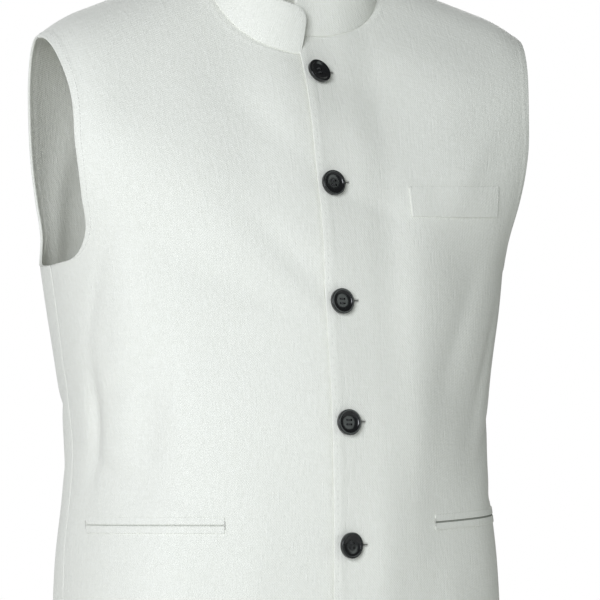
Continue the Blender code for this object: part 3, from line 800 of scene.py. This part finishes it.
def line_inside(piece, wall, edge, distance, rows):
    """A line on the outside of a shell, at one distance in from an edge of its grid, with the way out."""
    _, middle, normal = piece
    turned = {
        "start": lambda grid: grid[rows],
        "end": lambda grid: grid[rows, ::-1],
        "bottom": lambda grid: grid.transpose(1, 0, 2),
        "top": lambda grid: grid.transpose(1, 0, 2)[:, ::-1],
    }[edge]
    points, outs = turned(middle), turned(normal)
    away = run(points, 1)
    line, out = (
        np.concatenate([read_at([distance], *row) for row in zip(away, values)])
        for values in (points, outs)
    )
    out = unit(out)
    return line + out * wall / 2, out


def slit(name, line, out, side, half_width, finish):
    """A strip of painted shade where cloth is cut: a dark sheet that stands in for the shadow inside the cut.
    """
    across = np.linspace(-1, 1, SLIT_ROWS)[:, None, None] * half_width
    strip = line + side * across + out * SLIT_WALL / 2
    uv = np.stack(np.broadcast_arrays(lengths_along(line), across[..., 0]), axis=-1)
    shell = add_shell(name, strip, np.broadcast_to(out, strip.shape), SLIT_WALL, SLIT_WALL / 4, uv)
    return dress(shell, "ivory_cloth", FINISHES[finish])


def pocket_mouth(side, strips):
    """Between a hip pocket's two jets, the slit as a strip of painted shade, with close bars of stitches
    across both of its ends.
    """
    upper, lower = (strips[f"hip_jet_{place}_{side}"] for place in ("upper", "lower"))
    high, low = upper[1][0], lower[1][-1]
    out = unit(lower[2][-1])
    line = (high + low) / 2 - out * (JET_WALL / 2 + PATCH_GAP)
    up = unit(high - low)
    mouth = slit(f"hip_pocket_slit_{side}", line, out, up, MOUTH_HALF_WIDTH[side], "mouth_in_shade")
    tacks = sew(f"hip_pocket_tacks_{side}", bar_tacks(upper, lower), WHIP_LENGTH, WHIP_RADIUS)
    return [upper[0], lower[0], mouth, tacks]


def bar(places, way, out):
    """Stitches at those places that all lie the same way."""
    return places, np.broadcast_to(way, places.shape), np.broadcast_to(out, places.shape)


def buttonhole(number, z, drop):
    """A slit from under the button towards the side, drawn as a strip of painted shade, whipped with close
    stitches and barred at its end.
    """
    x = np.linspace(HOLE_START, HOLE_END, HOLE_POINTS)
    line, out = outer_face(*locate(x, z + drop, FRONT), True)
    way = unit(np.gradient(line, axis=0))
    side = np.cross(out, way)
    cut = slit(f"buttonhole_{number}_slit", line, out, side, HOLE_HALF_WIDTH, "slit_in_shade")
    lines = []
    for face in (-1, 1):
        beside = line + face * side * (HOLE_HALF_WIDTH + WHIP_LENGTH / 2)
        place, along, up = along_line(beside, out, WHIP_PITCH)
        lines.append((place, np.cross(up, along), up))
    steps = np.linspace(-1, 1, BAR_STITCHES)[:, None] * (HOLE_HALF_WIDTH + WHIP_LENGTH / 2)
    lines.append(bar(line[-1] + side[-1] * steps, way[-1], out[-1]))
    return [cut, sew(f"buttonhole_{number}_stitches", lines, WHIP_LENGTH, WHIP_RADIUS)]


def bar_tacks(strip_upper, strip_lower):
    """Short bars of close stitches across both ends of a pocket's mouth."""
    lines = []
    for column in (0, -1):
        low, high = strip_lower[1][0, column], strip_upper[1][-1, column]
        out = unit(strip_upper[2][0, column])
        count = round(TACK_SHARE * np.linalg.norm(high - low) / WHIP_PITCH)
        share = 0.5 + TACK_SHARE * np.linspace(-0.5, 0.5, count)[:, None]
        up = unit(high - low)
        place = low + (high - low) * share + out * JET_WALL / 2
        lines.append(bar(place, np.cross(up, out), out))
    return lines


def select_where(test):
    """In edit mode, selects only the faces whose middle and normal pass the test."""
    built = bmesh.from_edit_mesh(bpy.context.object.data)
    bpy.ops.mesh.select_all(action="DESELECT")
    for face in built.faces:
        if test(face.calc_center_median(), face.normal):
            face.select_set(True)
    built.select_flush_mode()
    bmesh.update_edit_mesh(bpy.context.object.data)


def apply(piece, kind, **settings):
    """Adds a modifier and applies it."""
    bpy.context.view_layer.objects.active = piece
    modifier = piece.modifiers.new(kind.title(), kind)
    for key, value in settings.items():
        setattr(modifier, key, value)
    bpy.ops.object.modifier_apply(modifier=modifier.name)


def button_disc():
    """A turned button that faces +Z, with a rim round a dish, and four eyes through it."""
    top = BUTTON_UNDERSIDE + BUTTON_THICKNESS
    disc = add_primitive("cylinder", vertices=72, radius=BUTTON_RADIUS, depth=BUTTON_THICKNESS,
                         location=(0, 0, top - BUTTON_THICKNESS / 2))
    bpy.ops.object.transform_apply(location=True)
    bpy.ops.object.mode_set(mode="EDIT")
    select_where(lambda place, way: way.z > 0.9)
    bpy.ops.mesh.inset(thickness=RIM_WIDTH)
    for share, drop in DISH_RINGS:
        bpy.ops.mesh.inset(thickness=share * BUTTON_RADIUS, depth=-drop)
    bpy.ops.object.mode_set(mode="OBJECT")
    apply(disc, "BEVEL", width=BUTTON_ROUND, segments=4, limit_method="ANGLE", angle_limit=math.radians(25))
    for along in (-1, 1):
        for across in (-1, 1):
            eye = add_primitive("cylinder", vertices=20, radius=EYE_RADIUS, depth=4 * BUTTON_THICKNESS,
                                location=(along * EYE_OFFSET, across * EYE_OFFSET, top))
            apply(disc, "BOOLEAN", object=eye, operation="DIFFERENCE")
            bpy.data.objects.remove(eye)
    apply(disc, "BEVEL", width=EYE_ROUND, segments=2, limit_method="ANGLE", angle_limit=math.radians(50))
    bpy.ops.object.select_all(action="DESELECT")
    disc.select_set(True)
    bpy.context.view_layer.objects.active = disc
    bpy.ops.object.shade_smooth_by_angle(angle=math.radians(35))
    apply(disc, "WEIGHTED_NORMAL", mode="FACE_AREA", keep_sharp=True)
    return disc


def button_thread():
    """The thread that holds a button: three strands over each pair of eyes, and a wound shank behind."""
    dish = BUTTON_UNDERSIDE + BUTTON_THICKNESS - DISH_DEPTH
    upright, flat = (math.pi / 2, 0, 0), (0, 0, 0)
    rings = [
        ((0, across * EYE_OFFSET + strand * STRAND_STEP, dish - STRAND_SINK), upright, EYE_OFFSET, 24, 8)
        for across in (-1, 1)
        for strand in (-1, 0, 1)
    ]
    turns = int(BUTTON_UNDERSIDE / THREAD_RADIUS / 2) + 1
    rings += [((0, 0, THREAD_RADIUS * 2 * turn), flat, SHANK_RADIUS, 20, 6) for turn in range(turns)]
    strands = [
        add_primitive("torus", location=place, rotation=turned, major_radius=radius,
                      minor_radius=THREAD_RADIUS, major_segments=along, minor_segments=around)
        for place, turned, radius, along, around in rings
    ]
    for strand in strands:
        strand.select_set(True)
    bpy.ops.object.join()
    bpy.ops.object.transform_apply(location=True, rotation=True)
    joined = bpy.context.object
    joined.data.shade_smooth()
    return joined


def place_button(number, z, turn, tip, models):
    """A button and its thread on the middle line of the left front."""
    centre, normal = (Vector(found) for found in outer_face(*locate(0.0, z, FRONT), True))
    lift = BUTTON_RADIUS * math.sin(math.radians(math.hypot(turn, tip))) / 2
    tipped = Matrix.Rotation(math.radians(turn), 3, "Z") @ Matrix.Rotation(math.radians(tip), 3, "X")
    facing = (tipped @ normal).to_track_quat("Z", "Y").to_matrix().to_4x4()
    placed = []
    for name, (model, finish) in models.items():
        piece = link(f"{name}_{number}", model.data.copy())
        piece.data.transform(Matrix.Translation(centre + normal * lift) @ facing)
        placed.append(dress(piece, "black_button", finish))
    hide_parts(f"button_{number}")
    return placed


# -------- finishes

def linear(colour):
    """An sRGB hex colour as linear light."""
    srgb = [int(colour[k:k + 2], 16) / 255 for k in (0, 2, 4)]
    return (*(c / 12.92 if c <= 0.04045 else ((c + 0.055) / 1.055) ** 2.4 for c in srgb), 1)


def feed(tree, node, inputs):
    """Sets each of a node's inputs to a value, or joins it to another node's output."""
    for socket, value in inputs.items():
        if isinstance(value, bpy.types.NodeSocket):
            tree.links.new(value, node.inputs[socket])
        else:
            node.inputs[socket].default_value = value


def add_node(tree, kind, inputs=None, output=0, **settings):
    """Adds a node with its settings and inputs, and gives one of its outputs."""
    made = tree.nodes.new("ShaderNode" + kind)
    for key, value in settings.items():
        setattr(made, key, value)
    feed(tree, made, inputs or {})
    return made.outputs[output]


def new_finish(name):
    """A material of that name, with its nodes and its shader."""
    made = bpy.data.materials.new(name)
    made.use_nodes = True
    return made, made.node_tree, made.node_tree.nodes["Principled BSDF"]


def stretched_noise(tree, grain_map, size, detail=2.0, roughness=0.5):
    """Noise whose spots are that long across and up the cloth, in metres."""
    scaled = add_node(tree, "VectorMath", {0: grain_map, 1: (1 / size[0], 1 / size[1], 1)},
                      operation="MULTIPLY")
    return add_node(tree, "TexNoise", {
        "Vector": scaled, "Scale": 1.0, "Detail": detail, "Roughness": roughness,
    })


def weighted(tree, *parts, start=0.0):
    """The sum of values, each times its weight, as one socket."""
    total = start
    for value, weight in parts:
        total = add_node(tree, "Math", {0: value, 1: weight, 2: total}, operation="MULTIPLY_ADD")
    return total


def ivory_suiting():
    """Silk and wool suiting in a plain weave: matt ivory, a little mottled, with slubs that run up the warp.

    The real threads are half a millimetre apart. They are drawn THREAD apart, so that they show.
    """
    made, tree, shader = new_finish("ivory_silk_wool_plain_weave")
    grain_map = add_node(tree, "UVMap", uv_map="grain")
    turned = add_node(tree, "VectorMath", {0: grain_map, 1: (math.pi / THREAD,) * 3}, operation="MULTIPLY")
    crossed = add_node(tree, "VectorMath", {0: turned}, operation="SINE")
    across, up, _ = add_node(tree, "SeparateXYZ", {0: crossed}).node.outputs
    weave = add_node(tree, "Math", {0: across, 1: up}, operation="MULTIPLY")
    warp_flecks = stretched_noise(tree, grain_map, WARP_FLECK, 3.0, 0.6)
    weft_flecks = stretched_noise(tree, grain_map, WEFT_FLECK)
    slub_noise = stretched_noise(tree, grain_map, SLUB, 1.0)
    slubs = add_node(tree, "MapRange", {"Value": slub_noise, "From Min": 0.58, "From Max": 0.76},
                     interpolation_type="SMOOTHSTEP")
    place = add_node(tree, "TexCoord", output="Object")
    clouds = add_node(tree, "TexNoise", {"Vector": place, "Scale": 1 / CLOUD, "Detail": 2.0})
    mottle = weighted(tree, (warp_flecks, 1.3), (weft_flecks, 0.7), start=-0.5)
    # The weave's share of the tone is painted shade: the cloth is a little darker where the weave's relief is
    # low
    tone = weighted(tree, (mottle, 0.8), (slubs, 0.15), (weave, 0.10), (clouds, 0.3), start=-0.15)
    relief = weighted(tree, (weave, 0.3), (mottle, 1.5), (slubs, 0.45))
    feed(tree, shader, {
        "Base Color": add_node(tree, "Mix", {0: tone, 6: linear(IVORY_DEEP), 7: linear(IVORY)}, 2,
                               data_type="RGBA"),
        "Roughness": add_node(tree, "MapRange", {"Value": mottle, "To Min": 0.68, "To Max": 0.55}),
        "Normal": add_node(tree, "Bump", {"Height": relief, "Strength": 1.0, "Distance": WEAVE_RELIEF}),
        "Specular IOR Level": 0.5,
        "Sheen Weight": 0.15,
        "Sheen Roughness": 0.5,
    })
    return made


def twisted_thread(name, colour, roughness):
    """Sewing thread, spun from polyester: its plies show as fine slanting ridges, and painted shade darkens
    the grooves between them.
    """
    made, tree, shader = new_finish(name)
    place = add_node(tree, "TexCoord", output="Object")
    plies = add_node(tree, "TexWave", {"Vector": place, "Scale": 1 / PLY, "Distortion": 1.0}, "Fac",
                     bands_direction="DIAGONAL")
    # Painted shade: the colour is darker where the plies' relief is low
    tone = add_node(tree, "MapRange", {"Value": plies, "To Min": 0.75, "To Max": 1.0})
    feed(tree, shader, {
        "Base Color": add_node(tree, "Mix", {0: 1.0, 6: linear(colour), 7: tone}, 2,
                               data_type="RGBA", blend_type="MULTIPLY"),
        "Roughness": roughness,
        "Normal": add_node(tree, "Bump", {"Height": plies, "Distance": PLY_RELIEF}),
        "Sheen Weight": 0.2,
    })
    return made


def cast_resin():
    """Buttons turned from cast polyester resin and polished: near black, glossy, faintly specked and worn."""
    made, tree, shader = new_finish("black_polished_polyester_resin")
    place = add_node(tree, "TexCoord", output="Object")
    specks = add_node(tree, "TexNoise", {"Vector": place, "Scale": RESIN_SPECKS, "Detail": 3.0})
    wear = add_node(tree, "TexNoise", {"Vector": place, "Scale": RESIN_WEAR, "Detail": 4.0})
    feed(tree, shader, {
        "Base Color": add_node(tree, "Mix", {0: specks, 6: linear(RESIN_DEEP), 7: linear(RESIN)}, 2,
                               data_type="RGBA"),
        "Roughness": add_node(tree, "MapRange", {"Value": wear, "To Min": 0.12, "To Max": 0.34}),
        "Normal": add_node(tree, "Bump", {"Height": wear, "Distance": RESIN_RELIEF}),
        "IOR": 1.55,
        "Coat Weight": 0.12,
        "Coat Roughness": 0.06,
    })
    return made


def painted_slit_shade(name, deep, pale):
    """Painted shade where cloth is cut: a dark strip that stands in for the shadow inside the cut, speckled
    between a deep and a pale grey.
    """
    made, tree, shader = new_finish(name)
    place = add_node(tree, "TexCoord", output="Object")
    threads = add_node(tree, "TexNoise", {"Vector": place, "Scale": SLIT_SHADE_SPECKS, "Detail": 2.0})
    feed(tree, shader, {
        "Base Color": add_node(tree, "Mix", {0: threads, 6: linear(deep), 7: linear(pale)}, 2,
                               data_type="RGBA"),
        "Roughness": 0.95,
        "Normal": add_node(tree, "Bump", {"Height": threads, "Distance": PLY_RELIEF}),
        "Specular IOR Level": 0.1,
    })
    return made


# -------- floor, light and camera

def room():
    """A pale floor that fades out into a white room."""
    floor = add_primitive("circle", vertices=96, radius=FLOOR_RADIUS, fill_type="NGON",
                          location=(0, 0, FLOOR_Z))
    floor.name = "floor"
    made, tree, shader = new_finish("pale_matt_floor")
    place = add_node(tree, "TexCoord", output="Object")
    away = add_node(tree, "VectorMath", {0: place}, "Value", operation="LENGTH")
    start, end = (FLOOR_RADIUS * share for share in FLOOR_FADE)
    fade = add_node(tree, "MapRange", {
        "Value": away, "From Min": start, "From Max": end, "To Min": 1.0, "To Max": 0.0,
    }, interpolation_type="SMOOTHSTEP")
    feed(tree, shader, {"Base Color": linear(FLOOR_COLOUR), "Roughness": 0.9, "Alpha": fade})
    floor.data.materials.append(made)

    world = bpy.data.worlds.new("white_room")
    bpy.context.scene.world = world
    world.use_nodes = True
    tree = world.node_tree
    seen = add_node(tree, "LightPath", output="Is Camera Ray")
    strength = add_node(tree, "MapRange", {"Value": seen, "To Min": ROOM_LIGHT, "To Max": 1.0})
    feed(tree, tree.nodes["Background"], {"Color": (1, 1, 1, 1), "Strength": strength})


def soft_light(name, place, size, watts, colour):
    """A square soft box, aimed at the chest."""
    light = bpy.data.lights.new(name, "AREA")
    light.shape = "RECTANGLE"
    light.size, light.size_y = size
    light.energy = watts
    light.color = colour
    made = link(name, light)
    made.location = place
    made.rotation_euler = (LIGHT_AIM - Vector(place)).to_track_quat("-Z", "Y").to_euler()


def camera():
    """A long lens, level with the waist and round to the wearer's right."""
    azimuth, elevation = (math.radians(angle) for angle in CAMERA_TURN)
    back = Vector((
        math.sin(azimuth) * math.cos(elevation),
        -math.cos(azimuth) * math.cos(elevation),
        math.sin(elevation),
    ))
    lens = bpy.data.cameras.new("camera")
    lens.lens = CAMERA_LENS
    lens.clip_end = 100
    made = link("camera", lens)
    made.location = CAMERA_AIM + back * CAMERA_DISTANCE
    made.rotation_euler = back.to_track_quat("Z", "Y").to_euler()
    bpy.context.scene.camera = made


# -------- the jacket

def stitched(name, piece, wall, edge, inset, stitch, rows=slice(None)):
    """A row of stitches inside one edge of a piece of cloth."""
    pitch, length = stitch
    line = line_inside(piece, wall, edge, inset, rows)
    return sew(name, [along_line(*line, pitch)], length, STITCH_RADIUS)


def jacket():
    """Every piece of cloth, what is sewn to it, and the buttons."""
    rows = (
        ("front_right", FRONT, -RIGHT_EDGE_X, RIGHT_NECK_Z, True, cloth),
        ("back_right", BACK, 0.0, NAPE_Z, True, cloth),
        ("back_left", BACK, 0.0, NAPE_Z, False, cloth),
        ("front_left", FRONT, LEFT_EDGE_X, LEFT_NECK_Z, False, lapped),
    )
    pieces = {row[0]: panel(row[0] + "_shell", *row[1:]) for row in rows}
    sewn_on = {}
    for node, piece in pieces.items():
        sewn_on[node] = [stitched(node + "_armhole_stitches", piece, CLOTH, "end", ARMHOLE_STITCH,
                                  TOP_STITCH, slice(LOWER_ROWS, None))]
    ring = neck_ring(pieces.values())
    pieces["collar"] = collar(ring)
    sewn_on["collar"] = [stitched("collar_stitches", pieces["collar"], COLLAR_CLOTH, "top", EDGE_STITCH,
                                  PICK_STITCH)]
    left, right = sewn_on["front_left"], sewn_on["front_right"]
    left.append(stitched("front_edge_stitches", pieces["front_left"], CLOTH, "start", EDGE_STITCH,
                         PICK_STITCH, slice(0, NECK.start)))

    strips = {row[0]: welt(*row) for row in WELTS}
    chest = strips["chest_welt"]
    left += [chest[0]] + [
        stitched(f"chest_welt_{edge}_stitches", chest, WELT_WALL, edge, WELT_STITCH, TOP_STITCH)
        for edge in ("start", "end")
    ]
    left += pocket_mouth("left", strips)
    right += pocket_mouth("right", strips)

    disc, thread = button_disc(), button_thread()
    models = {
        "button_disc": (disc, FINISHES["black_button"]),
        "button_thread": (thread, FINISHES["black_thread"]),
    }
    for k, (z, turn, tip, drop) in enumerate(BUTTONS):
        right += place_button(k + 1, z, turn, tip, models)
        left += buttonhole(k + 1, z, drop)
    bpy.data.objects.remove(disc)
    bpy.data.objects.remove(thread)

    for node, (shell, _, _) in pieces.items():
        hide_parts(node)


FINISHES = {
    "ivory_cloth": ivory_suiting(),
    "ivory_thread": twisted_thread("ivory_spun_polyester_thread", "EFEFE8", 0.6),
    "black_thread": twisted_thread("black_spun_polyester_thread", "1B1C1E", 0.55),
    "black_button": cast_resin(),
    # The buttonholes' slits and the pockets' mouths are strips of painted shade
    "slit_in_shade": painted_slit_shade("painted_shade_buttonhole_slit", "5E605B", "888A83"),
    "mouth_in_shade": painted_slit_shade("painted_shade_pocket_mouth", "858880", "A4A79E"),
}
for old in list(bpy.data.lights):
    bpy.data.lights.remove(old)
camera()
room()
for row in LIGHTS:
    soft_light(*row)
jacket()

bpy.context.scene.view_settings.view_transform = "Standard"
